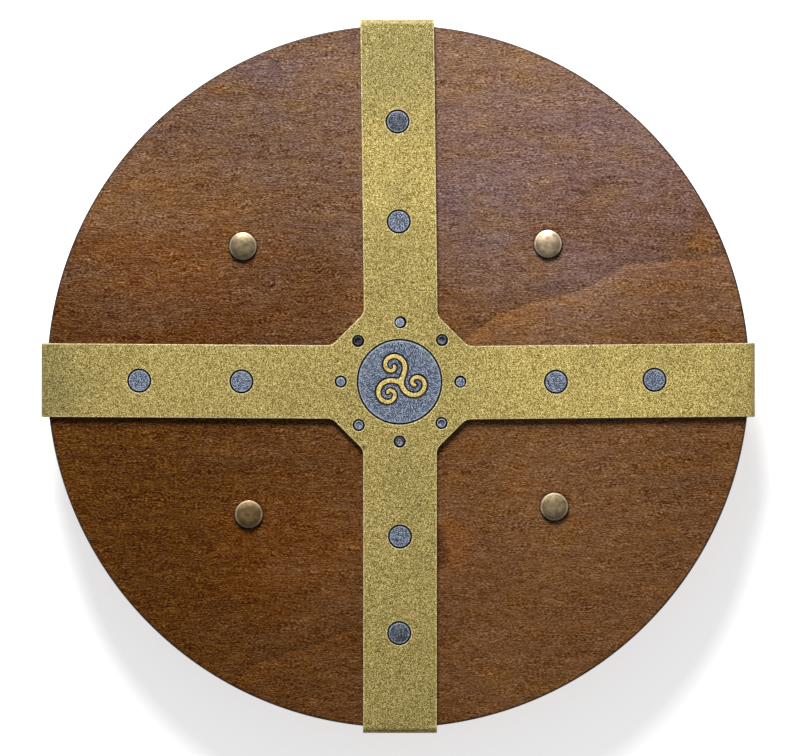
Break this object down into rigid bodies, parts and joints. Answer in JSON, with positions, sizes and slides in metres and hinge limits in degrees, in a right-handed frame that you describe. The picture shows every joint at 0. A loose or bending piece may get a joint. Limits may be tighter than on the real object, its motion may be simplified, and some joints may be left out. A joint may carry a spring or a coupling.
{
  "type": "round shield",
  "caption": "Small round wooden shield with a gold sheet cross turned over the rim, blue-grey studs, a triskele in the middle and leather arm loops riveted on its back.",
  "frame": {"origin": "under the middle of the round board, on the surface that the shield lies on", "axes": "+Z out of the shield's face, +Y towards the top of the shield as it is worn, +X to the right of someone who looks at its face"},
  "size_m": [0.3046, 0.3046, 0.0361],
  "materials": {
    "stained_wood": "brown-stained plywood with a satin varnish and a fine grain, laser-darkened at its edge",
    "gold_sheet": "grainy gold paint on a 2 mm sheet, satin, with dark cut edges",
    "blue_grey_sheet": "grainy blue-grey paint on the same sheet, satin, with dark cut edges",
    "antique_brass": "antique brass, brushed and slightly tarnished",
    "strap_leather": "dark brown vegetable-tanned leather, waxed, with burnished edges"
  },
  "bodies": {
    "root": {"board": "stained_wood", "cross": "gold_sheet", "middle_disc": "blue_grey_sheet", "triskele": "gold_sheet", "large_stud_right_inner": "blue_grey_sheet", "large_stud_right_outer": "blue_grey_sheet", "large_stud_top_inner": "blue_grey_sheet", "large_stud_top_outer": "blue_grey_sheet", "large_stud_left_inner": "blue_grey_sheet", "large_stud_left_outer": "blue_grey_sheet", "large_stud_bottom_inner": "blue_grey_sheet", "large_stud_bottom_outer": "blue_grey_sheet", "small_stud_right": "blue_grey_sheet", "small_stud_top_right": "blue_grey_sheet", "small_stud_top": "blue_grey_sheet", "small_stud_top_left": "blue_grey_sheet", "small_stud_left": "blue_grey_sheet", "small_stud_bottom_left": "blue_grey_sheet", "small_stud_bottom": "blue_grey_sheet", "small_stud_bottom_right": "blue_grey_sheet", "rivet_cap_top_left": "antique_brass", "rivet_cap_top_right": "antique_brass", "rivet_cap_bottom_left": "antique_brass", "rivet_cap_bottom_right": "antique_brass", "rivet_back_top_left": "antique_brass", "rivet_back_top_right": "antique_brass", "rivet_back_bottom_left": "antique_brass", "rivet_back_bottom_right": "antique_brass", "hand_strap": "strap_leather", "arm_strap": "strap_leather"}
  },
  "joints": []
}
